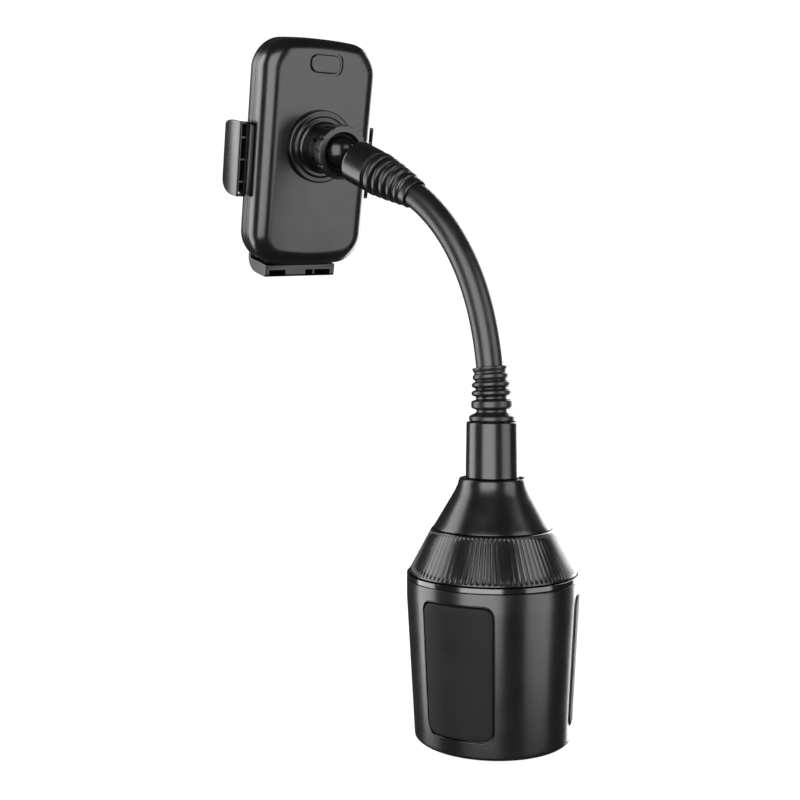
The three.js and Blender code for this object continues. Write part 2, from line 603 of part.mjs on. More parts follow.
// ---------------------------------------------------------------- foot
// Side view in depth and height: a shelf with a low lip at its front.
const footSide = [
  [10, -55.8], [10, -61.4], [10.6, -62], [22, -62], [26.5, -61], [29.3, -58.6], [30.4, -56],
  [30.4, -51.4], [28.8, -51], [28.2, -55.8]];
const footBody = prism(footSide.map(([depth, z]) => [-depth, z]), -FOOT_HALF_W, FOOT_HALF_W)
  .applyMatrix4(new THREE.Matrix4().makeBasis(
    new THREE.Vector3(0, 1, 0), new THREE.Vector3(0, 0, 1), new THREE.Vector3(1, 0, 0)));
// Pockets open at the back, between the shelf and a thin floor.
const footPockets = [[-17.2, -8], [-7.2, -3], [8.4, 17.6]].map((x) => box(x, [-24, -9], [-61.2, -58.4]));
add(cradle, 'foot', join(
  cut(footBody, ...footPockets),
  box([-footTongue.halfW, footTongue.halfW], footTongue.depth.map((d) => -d).reverse(), [-58, footTongue.top])),
plastic);
add(cradle, 'foot_pad', box([-17, 17], [-27.6, -20.4], [-55.5, -54.3]), rubber);
add(cradle, 'foot_detent_spring', prism([
  [-15.6, -50], [-15.9, -50], [-16.8, -44], [-15.9, -38], [-15.6, -38], [-16.4, -44]], -3, 3)
  .applyMatrix4(new THREE.Matrix4().makeBasis(
    new THREE.Vector3(0, 1, 0), new THREE.Vector3(0, 0, 1), new THREE.Vector3(1, 0, 0))), steel);

export default mount;
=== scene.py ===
# %% [markdown]
# # A phone mount that stands in a car's cup holder
#
# The mount is black throughout: a round base that fills the cup holder, a bendable neck, and a cradle
# that holds the phone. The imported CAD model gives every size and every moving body. Here each piece that
# can be seen gets a smooth skin, worked out as a whole array of points, and a finish made of nodes.

import bmesh
import bpy
import numpy as np
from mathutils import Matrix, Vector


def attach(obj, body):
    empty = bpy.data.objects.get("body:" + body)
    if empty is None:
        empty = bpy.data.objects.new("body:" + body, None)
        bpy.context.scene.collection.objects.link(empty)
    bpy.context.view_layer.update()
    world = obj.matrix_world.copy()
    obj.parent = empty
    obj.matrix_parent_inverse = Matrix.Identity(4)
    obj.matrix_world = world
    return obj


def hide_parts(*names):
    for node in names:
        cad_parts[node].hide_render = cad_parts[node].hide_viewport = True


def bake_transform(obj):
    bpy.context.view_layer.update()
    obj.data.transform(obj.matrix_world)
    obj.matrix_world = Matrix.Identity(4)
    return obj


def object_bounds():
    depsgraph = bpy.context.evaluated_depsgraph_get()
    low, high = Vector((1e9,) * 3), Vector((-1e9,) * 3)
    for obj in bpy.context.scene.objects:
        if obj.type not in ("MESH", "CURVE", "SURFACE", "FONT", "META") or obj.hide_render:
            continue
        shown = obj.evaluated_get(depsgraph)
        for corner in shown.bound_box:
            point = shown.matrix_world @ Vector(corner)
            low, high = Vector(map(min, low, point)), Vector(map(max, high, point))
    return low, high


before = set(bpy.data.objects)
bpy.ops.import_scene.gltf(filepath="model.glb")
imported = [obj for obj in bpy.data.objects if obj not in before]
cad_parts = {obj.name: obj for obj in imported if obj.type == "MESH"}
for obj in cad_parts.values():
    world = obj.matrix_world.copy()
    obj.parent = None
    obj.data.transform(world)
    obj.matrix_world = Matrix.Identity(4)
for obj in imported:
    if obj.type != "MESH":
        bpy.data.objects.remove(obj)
cad_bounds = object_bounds()
MM = 0.001  # the sizes below are in millimetres, and Blender's are in metres
size = [round((high - low) / MM, 1) for low, high in zip(*cad_bounds)]
print("model box in mm:", size, "with", len(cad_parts), "nodes")

# %% [markdown]
# ## Finishes
#
# Moulded plastic is never one flat black. A mould leaves a fine grain, and handling leaves faint clouds
# where the gloss changes. Both could be painted as images, but noise on Object coordinates keeps its
# scale on every piece. One recipe makes all the finishes: slow noise varies the colour and the
# roughness, and fine noise lifts the surface by a few hundredths of a millimetre.

# %% A recipe for plastics, rubbers and metal


def finish(name, colour, roughness, clouds, grain_size, grain_depth, metallic=0.0, gloss=0.5):
    """Make a finish. Roughness is its middle value plus or minus `clouds`, following slow noise. Colour
    runs from four fifths to six fifths of `colour` with that noise. The relief is fine noise of
    `grain_size`, `grain_depth` deep, both in millimetres."""
    material = bpy.data.materials.new(name)
    material.use_nodes = True
    nodes, links = material.node_tree.nodes, material.node_tree.links
    shader = nodes["Principled BSDF"]
    shader.inputs["Metallic"].default_value = metallic
    shader.inputs["Specular IOR Level"].default_value = gloss
    where = nodes.new("ShaderNodeTexCoord").outputs["Object"]

    slow = nodes.new("ShaderNodeTexNoise")
    slow.inputs["Scale"].default_value = 1 / (CLOUD_SIZE * MM)
    slow.inputs["Detail"].default_value = 3
    links.new(where, slow.inputs["Vector"])

    shine = nodes.new("ShaderNodeMapRange")
    for socket, value in zip(("From Min", "From Max", "To Min", "To Max"),
                             (0.3, 0.7, roughness - clouds, roughness + clouds)):
        shine.inputs[socket].default_value = value
    links.new(slow.outputs["Fac"], shine.inputs["Value"])
    links.new(shine.outputs["Result"], shader.inputs["Roughness"])

    tone = nodes.new("ShaderNodeValToRGB")
    for stop, place, share in zip(tone.color_ramp.elements, (0.3, 0.7), (0.8, 1.2)):
        stop.position = place
        stop.color = (*(share * part for part in colour), 1)
    links.new(slow.outputs["Fac"], tone.inputs["Fac"])
    links.new(tone.outputs["Color"], shader.inputs["Base Color"])

    grain = nodes.new("ShaderNodeTexNoise")
    grain.inputs["Scale"].default_value = 1 / (grain_size * MM)
    grain.inputs["Detail"].default_value = 2
    links.new(where, grain.inputs["Vector"])
    relief = nodes.new("ShaderNodeBump")
    relief.inputs["Strength"].default_value = 0.25
    relief.inputs["Distance"].default_value = grain_depth * MM
    links.new(grain.outputs["Fac"], relief.inputs["Height"])
    links.new(relief.outputs["Normal"], shader.inputs["Normal"])
    return material


CLOUD_SIZE = 9
satin_plastic = finish("satin moulded plastic", (0.0024, 0.0024, 0.0026), 0.24, 0.02, 0.35, 0.005)
polished_plastic = finish("polished plastic", (0.002, 0.002, 0.002), 0.14, 0.02, 0.8, 0.002, gloss=0.8)
joint_plastic = finish("joint plastic", (0.0018, 0.0018, 0.002), 0.22, 0.02, 0.5, 0.004, gloss=0.4)
grip_rubber = finish("matte grip rubber", (0.0045, 0.0045, 0.0045), 0.55, 0.05, 0.5, 0.020, gloss=0.12)
neck_rubber = finish("neck rubber", (0.0030, 0.0030, 0.0032), 0.34, 0.04, 0.5, 0.010)
inner_plastic = finish("unpainted inner plastic", (0.012, 0.012, 0.013), 0.45, 0.04, 0.6, 0.015)
plated_steel = finish("zinc-plated steel", (0.52, 0.53, 0.55), 0.32, 0.06, 0.9, 0.006, metallic=1.0)

# %% [markdown]
# ## From a grid of points to a piece
#
# Every skin here is a grid of points whose columns run round something: an axis, a wire, a window or an
# outline. The rows are either left open, closed with a flat face at each end, or joined last to first.
# Blender can spin or screw a curve too, but a grid lets each point be a plain formula. Doubled points
# are merged, which closes the poles, and then the faces are turned outwards.

# %% Grids, outlines and pieces


def net(grid, ends="open"):
    """Points and faces of a grid [rows, columns, 3] whose columns run round. Face (r, c) joins rows r
    and r + 1 and columns c and c + 1, and the last column joins the first."""
    rows, columns = grid.shape[:2]
    row = np.arange(rows if ends == "joined" else rows - 1)[:, None]
    column = np.arange(columns)[None, :]
    here, after = (row % rows) * columns, ((row + 1) % rows) * columns
    beside = (column + 1) % columns
    faces = np.stack([here + column, here + beside, after + beside, after + column], -1)
    faces = faces.reshape(-1, 4).tolist()
    if ends == "capped":
        faces += [list(range(columns)), list(range((rows - 1) * columns, rows * columns))]
    return grid.reshape(-1, 3), faces


CREASE = 32


def piece(name, body, material, nets, stands_for=(), crease=CREASE):
    """Make a mesh object of one or more nets, given in millimetres in the row frame. Edges sharper than
    `crease` degrees stay crisp, and the rest are shaded smoothly."""
    points, faces, first = [], [], 0
    for net_points, net_faces in nets:
        points.append(net_points * MM)
        faces += [[first + corner for corner in face] for face in net_faces]
        first += len(net_points)
    mesh = bpy.data.meshes.new(name)
    mesh.from_pydata(np.concatenate(points).tolist(), [], faces)
    tidy = bmesh.new()
    tidy.from_mesh(mesh)
    bmesh.ops.remove_doubles(tidy, verts=tidy.verts, dist=0.003 * MM)
    bmesh.ops.recalc_face_normals(tidy, faces=tidy.faces)
    tidy.to_mesh(mesh)
    tidy.free()
    made = bpy.data.objects.new(name, mesh)
    bpy.context.scene.collection.objects.link(made)
    mesh.materials.append(material)
    shade(made, crease)
    if body:
        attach(made, body)
        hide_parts(*stands_for)
    return made


def shade(made, crease):
    """Smooth shading, broken at edges sharper than `crease` degrees."""
    made.data.shade_smooth()
    made.data.set_sharp_from_angle(angle=np.radians(crease))


def soften(corners, radius, steps=5):
    """Closed outline with rounded corners. Each corner becomes a parabola that leaves one side `radius`
    before the corner and joins the next `radius` after it, and never goes past a side's middle. One more
    point just outside each end of the parabola keeps the flat side's shading flat."""
    at = np.asarray(corners, float)
    radius = np.broadcast_to(radius, len(at))

    def along(side, reach, most):
        length = np.maximum(np.linalg.norm(side, axis=1), 1e-9)
        return (at + side * np.minimum(reach / length, most)[:, None])[:, None]

    before, after = np.roll(at, 1, 0) - at, np.roll(at, -1, 0) - at
    t = np.linspace(0, 1, steps + 1)[None, :, None]
    curve = ((1 - t) ** 2 * along(before, radius, 0.45) + 2 * t * (1 - t) * at[:, None]
             + t ** 2 * along(after, radius, 0.45))
    shoulder = radius * 1.15 + 0.02
    return np.concatenate([along(before, shoulder, 0.49), curve, along(after, shoulder, 0.49)],
                          1).reshape(-1, 2)


def turned(profile, sides=128, start=0.0):
    """Turn [radius, height] points about Z: x = r cos a, y = r sin a, with a going once round."""
    profile = np.asarray(profile, float)
    angle = np.radians(start) + np.arange(sides) * 2 * np.pi / sides
    radius, height = profile[:, :1], profile[:, 1:]
    return np.stack([radius * np.cos(angle), radius * np.sin(angle), height + 0 * angle], -1)


print("a rounded square has", len(soften([[0, 0], [1, 0], [1, 1], [0, 1]], 0.2)), "points")

# %% [markdown]
# ## The cup
#
# The cup is a thin moulded wall with three windows for the rubber pads. A hole could be cut in a turned
# shell, but the cut leaves long thin faces that spoil the gloss. Instead each third of the wall is a
# grid that runs round its window: one edge of the grid is the window's outline, the other is the border
# of that third, and both are given as an angle and a height, so every point lies on the cone.

# %% Cup shell
CUP_FOOT_R, CUP_TOP_R = 33.0, 36.5
CUP_TAPER_TOP_Z, CUP_TOP_Z = 60, 67.6
CUP_WALL = 2.2
WALL_FOOT_Z = 1.6
PAD_ANGLES = (27, 147, 267)
PAD_Z = (8, 62)
PAD_HALF_WIDTH = (14.2, 15.6)
PAD_CORNER = 5
PAD_BACK_X = 29.1
PAD_PROUD = 0.4
GAP = 0.3
SIDE_STEPS = 40
OUTLINE_POINTS = 900
BEAD_WIDTH, BEAD_HEIGHT = 0.7, 0.3


def cup_radius(z):
    """The cup's outer radius grows evenly up to the taper's top, and then stays."""
    return np.interp(z, [0, CUP_TAPER_TOP_Z], [CUP_FOOT_R, CUP_TOP_R])


def pad_outline(margin=0.0):
    """The pad's outline across and up, as evenly spaced points, grown by `margin`."""
    (low, high), (foot, top) = PAD_Z, PAD_HALF_WIDTH
    corners = np.array([[-foot, low], [foot, low], [top, high], [-top, high]], float)
    corners += margin * np.sign(corners - [0, np.mean(PAD_Z)])
    line = soften(corners, PAD_CORNER, 12)
    line = np.vstack([line, line[:1]])
    walked = np.concatenate([[0], np.cumsum(np.linalg.norm(np.diff(line, axis=0), axis=1))])
    even = np.linspace(0, walked[-1], OUTLINE_POINTS, endpoint=False)
    return np.stack([np.interp(even, walked, line[:, k]) for k in (0, 1)], -1)


def at_bearings(outline, bearings, centre, reach):
    """Where rays from the centre cross the outline. Bearings are measured after dividing by `reach`."""
    offset = (outline - centre) / reach
    bearing = np.arctan2(offset[:, 1], offset[:, 0])
    order = np.argsort(bearing)
    return np.stack([np.interp(bearings, bearing[order], outline[order, k], period=2 * np.pi)
                     for k in (0, 1)], -1)


def square_edge(steps):
    """Points round the edge of the square from -1 to 1, with `steps` to a side."""
    run = np.linspace(-1, 1, steps, endpoint=False)
    one = np.ones(steps)
    return np.concatenate([np.stack([run, -one], -1), np.stack([one, run], -1),
                           np.stack([-run, one], -1), np.stack([-one, -run], -1)])


def wall_third(turn):
    """One third of the wall: rows go from the window's edge to the border, which is 60 degrees to each
    side. The first rows swell into a thin bead round the window, half a sine wave high."""
    middle_z, half_z = (WALL_FOOT_Z + CUP_TOP_Z) / 2, (CUP_TOP_Z - WALL_FOOT_Z) / 2
    reach = [np.radians(60), half_z]
    edge = square_edge(SIDE_STEPS)
    border = edge * reach + [0, middle_z]
    window = pad_outline(GAP)
    window[:, 0] = np.arcsin(window[:, 0] / cup_radius(window[:, 1]))
    window = at_bearings(window, np.arctan2(edge[:, 1], edge[:, 0]), [0, middle_z], reach)
    length = np.linalg.norm((border - window) * [CUP_TOP_R, 1], axis=1)
    lip = np.linspace(0, BEAD_WIDTH, 7)[:, None]
    rest = np.concatenate([[0.02], np.linspace(0.08, 1, 14)])[:, None]
    share = np.vstack([lip / length, rest * (1 - BEAD_WIDTH / length) + BEAD_WIDTH / length])
    angle, z = np.moveaxis(window + share[..., None] * (border - window), -1, 0)
    swell = np.zeros((len(share), 1))
    swell[:len(lip)] = BEAD_HEIGHT * np.sin(np.pi * lip / BEAD_WIDTH)
    swell[0] = -BEAD_HEIGHT
    radius = cup_radius(z) + swell
    angle = angle + np.radians(turn)
    return np.stack([radius * np.cos(angle), radius * np.sin(angle), z], -1)


foot_edge = [[cup_radius(WALL_FOOT_Z), WALL_FOOT_Z], [33.0, 1.15], [32.7, 0.8], [32.3, 0.52],
             [31.8, 0.4], [29.4, 0.4], [29.4, 1.8], [15, 1.8], [0, 1.8]]
cup = piece("cup", "base", satin_plastic,
            [net(wall_third(turn)) for turn in PAD_ANGLES]
            + [net(turned(foot_edge, 3 * SIDE_STEPS, PAD_ANGLES[0] - 60))], ["cup_shell"])
wall = cup.modifiers.new("wall", "SOLIDIFY")
wall.thickness, wall.offset = CUP_WALL * MM, -1
print("cup faces:", len(cup.data.polygons))

# %% [markdown]
# ## The rubber pads
#
# Three pads swell out of the windows and grip the holder. A pad is a slice of a slightly larger cone
# with rounded edges and a flat back. Its grid runs from the middle of the face out to the outline, over
# the rounded edge, down the side and back in to the middle of the back.

# %% Grip pads
PAD_EDGE = 0.9


def pad_skin(turn):
    """Face x = root of (cone radius squared minus y squared), lowered near the outline by a quarter
    circle. Each row is the outline drawn in towards the middle."""
    middle = np.array([0, np.mean(PAD_Z)])
    outline = pad_outline()[::5]
    reach = np.linalg.norm(outline - middle, axis=1)
    arc = np.radians(np.linspace(0, 90, 7))
    inset = PAD_EDGE * (1 - np.sin(arc))
    drop = PAD_EDGE * (1 - np.cos(arc))
    face = np.linspace(0, 1, 12)[:, None] * (1 - PAD_EDGE / reach)
    share = np.vstack([face[:-1], 1 - inset[:, None] / reach, np.ones((1, len(reach))),
                       np.full((1, len(reach)), 0.9), np.zeros((1, len(reach)))])
    across, up = np.moveaxis(middle + share[..., None] * (outline - middle), -1, 0)
    out = np.sqrt((cup_radius(up) + PAD_PROUD) ** 2 - across ** 2)
    out[len(face) - 1:-3] -= drop[:, None]
    out[-3:] = PAD_BACK_X
    angle = np.radians(turn)
    return np.stack([out * np.cos(angle) - across * np.sin(angle),
                     out * np.sin(angle) + across * np.cos(angle), up], -1)


for number, turn in enumerate(PAD_ANGLES, 1):
    piece(f"grip-pad-{number}", f"grip_{number}", grip_rubber, [net(pad_skin(turn))],
          [f"grip_pad_{number}"])
print("pads stand", PAD_PROUD, "mm proud of the cup")

# %% [markdown]
# ## Trim ring, fluted dial and cone
#
# These are turned pieces, so each is a profile carried round the axis. The dial's flutes could be
# ninety separate ridges, but a ripple in the radius, written into the same grid, gives them for
# nothing. The ripple fades out at the top and bottom, where the real ring has plain edges.

# %% Trim ring, dial and cone
TRIM_Z = (67.9, 69.9)
TRIM_INNER_R = 30
DIAL_Z = (70.2, 88.7)
DIAL_R = (35.8, 25.85)
FLUTES, FLUTE_DEPTH, FLUTE_POINTS, GROOVE_SHARE = 90, 0.45, 8, 0.25
CONE_Z = (89, 110)

trim = soften([[TRIM_INNER_R, TRIM_Z[0]], [CUP_TOP_R, TRIM_Z[0]], [CUP_TOP_R, TRIM_Z[1]],
               [TRIM_INNER_R, TRIM_Z[1]]], [0.1, 0.1, 0.25, 0.1])
piece("trim-ring", "base", polished_plastic, [net(turned(trim, 180), "joined")], ["trim_ring"])


def dial_skin():
    """The outside is a cone whose radius dips in a narrow V at each flute, with a wide flat land
    between. The dip fades to nothing near each edge."""
    share = np.concatenate([[0, 0.012, 0.03, 0.05], np.linspace(0.08, 0.92, 12),
                            [0.95, 0.97, 0.988, 1]])
    z = DIAL_Z[0] + share * (DIAL_Z[1] - DIAL_Z[0])
    cone = DIAL_R[0] + share * (DIAL_R[1] - DIAL_R[0])
    near_edge = np.minimum(share, 1 - share)
    cone = cone - 0.5 * np.clip(1 - near_edge / 0.02, 0, 1) ** 2
    sides = FLUTES * FLUTE_POINTS
    outside = turned(np.stack([cone, z], -1), sides)
    across = np.arange(sides) % FLUTE_POINTS / FLUTE_POINTS
    groove = np.clip(1 - np.abs(across - 0.5) / GROOVE_SHARE, 0, 1)
    fade = np.clip((near_edge - 0.03) / 0.06, 0, 1)[:, None]
    shrink = 1 - FLUTE_DEPTH * fade * groove / cone[:, None]
    outside[..., :2] *= shrink[..., None]
    inside = turned([[DIAL_R[1] - 2.6, DIAL_Z[1]], [DIAL_R[0] - 3.6, DIAL_Z[0] + 2.2],
                     [8.4, DIAL_Z[0] + 2.2], [8.4, DIAL_Z[0]]], sides)
    return np.concatenate([outside, inside])


piece("dial-ring", "dial", satin_plastic, [net(dial_skin(), "joined")], ["dial_ring"], crease=24)


def curve_through(points, steps=6):
    """Catmull-Rom curve: between two points it leaves along the line joining their neighbours."""
    points = np.asarray(points, float)
    padded = np.vstack([2 * points[0] - points[1], points, 2 * points[-1] - points[-2]])
    a, b, c, d = (padded[k:len(padded) - 3 + k, None] for k in range(4))
    t = np.linspace(0, 1, steps, endpoint=False)[None, :, None]
    curve = 0.5 * (2 * b + (c - a) * t + (2 * a - 5 * b + 4 * c - d) * t ** 2
                   + (3 * b - a - 3 * c + d) * t ** 3)
    return np.vstack([curve.reshape(-1, 2), points[-1:]])


cone_side = curve_through([[21.7, 94.9], [18.2, 100.8], [16.2, 104.2], [14.9, 107], [14.25, 109.2]])
cone = np.vstack([[[22.7, CONE_Z[0]], [24.9, CONE_Z[0]], [25.15, CONE_Z[0] + 0.12],
                   [25.05, CONE_Z[0] + 0.4], [24.0, 91.0]], cone_side,
                  [[14.1, 109.7], [13.8, 110], [8.3, CONE_Z[1]], [8.3, 101], [15.6, 101]]])
piece("cone-cap", "base", satin_plastic, [net(turned(cone, 180), "joined")], ["cone_cap"])
flute_spacing = round(2 * np.pi * DIAL_R[0] / FLUTES, 2)
print("dial has", FLUTES, "flutes, one every", flute_spacing, "mm at the bottom")

# %% [markdown]
# ## The neck
#
# A steel gooseneck runs inside a rubber tube. It leans more and more as it climbs, until it runs
# straight into the ball joint. One function places every neck piece: it takes a cross-section and a
# length along the neck, and returns the point in space. So a boot or a tube is made as if the neck were
# upright, as a simple turned profile, and then bent.

# %% Bend a turned piece along the neck
SLEEVE_TOP_Z = 134
NECK_HEADING = np.radians(19.7)
LEAN_SLOPE, LEAN_CURVE = 0.2053, 0.0025  # degrees for each millimetre, and for each one squared
NECK_STRAIGHT_FROM = 121.7
LENGTH_STEP = 0.25
LENGTH_SPAN = (-24, 180)  # more than the neck's own length, so every piece on it is inside
length_marks = np.arange(*LENGTH_SPAN, LENGTH_STEP)


def lean(length):
    """The neck's angle from upright, a quadratic in the length, held still outside the bent part."""
    bent = np.clip(length, 0, NECK_STRAIGHT_FROM)
    return np.radians(LEAN_SLOPE * bent + LEAN_CURVE * bent ** 2)


step_lean = lean(length_marks[:-1] + LENGTH_STEP / 2)
forward = np.concatenate([[0], np.cumsum(np.sin(step_lean) * LENGTH_STEP)])
upward = np.concatenate([[0], np.cumsum(np.cos(step_lean) * LENGTH_STEP)])
upward += SLEEVE_TOP_Z - np.interp(0, length_marks, upward)


def along_neck(points):
    """Put points [x, y, length] on the neck: the cross-section is tipped by the lean there, and the
    whole neck is turned to its heading."""
    x, side, length = np.moveaxis(np.asarray(points, float), -1, 0)
    tip = lean(length)
    y = side * np.cos(tip) - np.interp(length, length_marks, forward)
    z = side * np.sin(tip) + np.interp(length, length_marks, upward)
    return np.stack([x * np.cos(NECK_HEADING) - y * np.sin(NECK_HEADING),
                     x * np.sin(NECK_HEADING) + y * np.cos(NECK_HEADING), z], -1)


ball_centre = along_neck([0, 0, 163.4])

# %% [markdown]
# The tube is one smooth length on the real mount, but the model bends it at four hinges. Here the tube
# is four lengths end to end, made in place along the neck in the model's covers' stead. They are fixed
# there and do not follow the hinges.

# %% Sleeve, tube, boots and ferrule
SLEEVE_R = (11.35, 11.0)
TUBE_R, TUBE_BORE_R = 5.9, 4.3

sleeve = soften([[6.3, 119], [6.3, 110.3], [SLEEVE_R[0], 110.3], [SLEEVE_R[1], SLEEVE_TOP_Z],
                 [6.3, SLEEVE_TOP_Z]], [0.1, 0.1, 0.3, 0.9, 0.4])
piece("neck-sleeve", "neck_root", satin_plastic, [net(turned(sleeve, 96), "joined")], ["neck_sleeve"])

tube_ends = (-12, 45, 67, 89, 130)
for number, (low, high) in enumerate(zip(tube_ends, tube_ends[1:])):
    run = np.linspace(low, high, int(high - low) + 1)
    outside = np.stack([np.full_like(run, TUBE_R), run], -1)
    inside = np.stack([np.full_like(run, TUBE_BORE_R), run], -1)[::-1]
    tube = piece(f"neck-tube-{number + 1}", None, neck_rubber,
                 [net(along_neck(turned(np.vstack([outside, inside]), 64)), "joined")], crease=60)
    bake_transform(tube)
    covers = [f"gooseneck_cover_{number}"] + (["gooseneck_cover_4"] if number == 3 else [])
    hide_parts(*covers)


RIB_SLOPE = 0.7  # how far along the neck a rib's side runs from tip to valley


def ribs(shapes, valley):
    """Corners of a row of ribs, each [length, tip radius, half thickness], from valley to valley."""
    length, tip, half = np.array(shapes, float).T
    before, after = length - half - RIB_SLOPE, length + half + RIB_SLOPE
    corners = [[valley(before), before], [tip, length - half],
               [tip, length + half], [valley(after), after]]
    return np.array(corners).transpose(2, 0, 1).reshape(-1, 2)


BOOT_BORE_R, BOOT_SOFTNESS = 6.2, 0.75
lower_boot = np.vstack([[[BOOT_BORE_R, 0.3], [9.9, 0.3], [9.9, 2.4], [6.7, 4]],
                        ribs([[7.4, 8.9, 1.5], [12.3, 8.6, 0.8], [15.9, 8.3, 0.8], [19.3, 7.7, 0.8]],
                             lambda length: 6.7 + 0 * length),
                        [[7.6, 22.6], [7.6, 23.4], [BOOT_BORE_R, 23.4]]])
piece("lower-boot", "neck_root", neck_rubber,
      [net(along_neck(turned(soften(lower_boot, BOOT_SOFTNESS, 6), 96)), "joined")], ["lower_boot"],
      crease=60)

UPPER_BOOT = (113, 138.4)
upper_boot = np.vstack([[[BOOT_BORE_R, 113], [7, 113], [7, 115]],
                        ribs([[118.6, 7.9, 0.9], [122.6, 8.5, 0.9], [126.6, 9.1, 1.0], [130.8, 9.6, 1.0],
                              [135.2, 10.1, 1.5]],
                             lambda length: np.interp(length, UPPER_BOOT, [6.6, 8.3])),
                        [[10, 138.4], [BOOT_BORE_R, 138.4]]])
piece("upper-boot", "neck_tip", neck_rubber,
      [net(along_neck(turned(soften(upper_boot, BOOT_SOFTNESS, 6), 96)), "joined")], ["upper_boot"],
      crease=60)

ferrule = soften([[4.4, 138.7], [10, 138.7], [10, 151.9], [3.3, 151.9], [3.3, 147], [4.4, 147]],
                 [0.1, 0.25, 1.7, 0.2, 0.1, 0.1], 8)
piece("end-ferrule", "neck_tip", satin_plastic,
      [net(along_neck(turned(ferrule, 96)), "joined")], ["end_ferrule"])
print("tube runs in lengths between", tube_ends, "mm")

# %% [markdown]
# ## Ball, socket and nut
#
# The cradle turns on a ball that a ring nut clamps in a slotted socket. All three are turned about one
# axis, square to the cradle's back. The socket's wall is slit into eight fingers, so that the nut can
# squeeze them. Each finger is its cross-section carried part of the way round.

# %% Cradle frame, ball, socket and nut
BALL_R, STUD_R, BALL_LENGTH = 8, 3.6, 163.4
BALL_STANDOFF, BALL_Z = 19, 5
PITCH, ROLL = np.radians(-16.3), np.radians(3.8)
cos_pitch, sin_pitch, cos_roll, sin_roll = np.cos(PITCH), np.sin(PITCH), np.cos(ROLL), np.sin(ROLL)
cradle_turn = (np.array([[1, 0, 0], [0, cos_pitch, -sin_pitch], [0, sin_pitch, cos_pitch]])
               @ np.array([[cos_roll, 0, sin_roll], [0, 1, 0], [-sin_roll, 0, cos_roll]]))


def on_cradle(points):
    """Cradle points are x to the user's right, y out of the back face and z up, from its middle."""
    return (np.asarray(points, float) - [0, BALL_STANDOFF, BALL_Z]) @ cradle_turn.T + ball_centre


def out_of_back(points, centre=(0, BALL_Z)):
    """Stand a piece turned about Z on the cradle's back, round a centre: its heights point outwards."""
    x, across, out = np.moveaxis(np.asarray(points, float), -1, 0)
    return on_cradle(np.stack([centre[0] + x, out, centre[1] - across], -1))


arc = np.linspace(-np.arccos(STUD_R / BALL_R), np.pi / 2, 28)
ball = np.vstack([[[0, 147.6], [2.9, 147.6], [2.9, 152.2], [STUD_R, 152.6]],
                  np.stack([BALL_R * np.cos(arc), BALL_LENGTH + BALL_R * np.sin(arc)], -1)])
ball[-1, 0] = 0
piece("ball-stud", "ball", joint_plastic, [net(along_neck(turned(ball, 80)))], ["ball_stud"])

FLANGE_R = 17.5
FINGERS, SLIT, BARREL_R, BARREL_BORE_R = 8, 1.6, 11.6, 9.9
flange = soften([[0, 0.3], [FLANGE_R, 0.3], [FLANGE_R, 2.6], [14.8, 2.6], [14.2, 3.5], [12.5, 3.5],
                 [BARREL_R, 4.3], [BARREL_R, 12], [BARREL_BORE_R, 12], [BARREL_BORE_R, 9.1], [0, 9.1]],
                [0, 0.3, 0.9, 0.3, 0.4, 0.3, 0.5, 0.1, 0.1, 0.3, 0])


def finger(turn):
    """A slice of the barrel between two slits: the cross-section carried over 45 degrees less a slit."""
    section = soften([[BARREL_BORE_R, 12], [BARREL_R, 12], [BARREL_R, 16.6], [11, 17.2], [11, 21],
                      [BARREL_BORE_R, 21]], 0.25, 3)
    half = 180 / FINGERS - np.degrees(SLIT / 2 / BARREL_R)
    angle = np.radians(turn + np.linspace(-half, half, 14))[:, None]
    return out_of_back(np.stack([section[:, 0] * np.cos(angle), section[:, 0] * np.sin(angle),
                                 section[:, 1] + 0 * angle], -1))


piece("ball-socket", "cradle", joint_plastic,
      [net(out_of_back(turned(flange, 128)))]
      + [net(finger(45 * k), "capped") for k in range(FINGERS)], ["ball_socket"])

NUT_R, NUT_Y = 12.75, (17.8, 23.2)
NUT_NOTCHES, NOTCH_DEPTH = 12, 0.5
NUT_SIDES, NOTCH_INNER_R = 192, 12
nut = soften([[11.3, NUT_Y[0]], [NUT_R, NUT_Y[0]], [NUT_R, NUT_Y[1]], [9.5, NUT_Y[1]], [8.4, 21.5],
              [11.3, 21.3]], [0.1, 0.35, 0.45, 0.4, 0.2, 0.1])
nut_skin = turned(nut, NUT_SIDES)
round_nut = np.arange(NUT_SIDES) * 2 * np.pi / NUT_SIDES
notch = np.clip(np.cos(NUT_NOTCHES * round_nut) * 3 - 2, 0, 1)
rim = np.clip((nut[:, :1] - NOTCH_INNER_R) / (NUT_R - NOTCH_INNER_R), 0, 1)
nut_skin[..., :2] *= (1 - NOTCH_DEPTH / NUT_R * rim * notch)[..., None]
piece("lock-nut", "nut", satin_plastic, [net(out_of_back(nut_skin), "joined")], ["lock_nut"])
print("socket has", FINGERS, "fingers and the nut", NUT_NOTCHES, "notches")

# %% [markdown]
# ## The cradle's case
#
# The case is two moulded covers that meet on a line round the sides. Its face is a rounded rectangle
# with gently arched ends, and a wide fillet rolls from the sides into the back. Each cover is that
# outline repeated at growing insets, first inside and then outside, so it is a true hollow shell. The
# button's recess and the slots for the arms are cut afterwards with a Boolean, as they are small and
# cross two surfaces, which no single grid would follow well.

# %% Covers
CASE_W, CASE_H, CASE_CORNER, CASE_ARCH = 61.8, 110.4, 13.6, 2.6
CASE_DEPTH, CASE_SPLIT, CASE_FILLET, CASE_WALL = 19.2, 12, 7.9, 2
ARM_Z, ARM_HALF_H = -4, 18
BUTTON_Z = 44


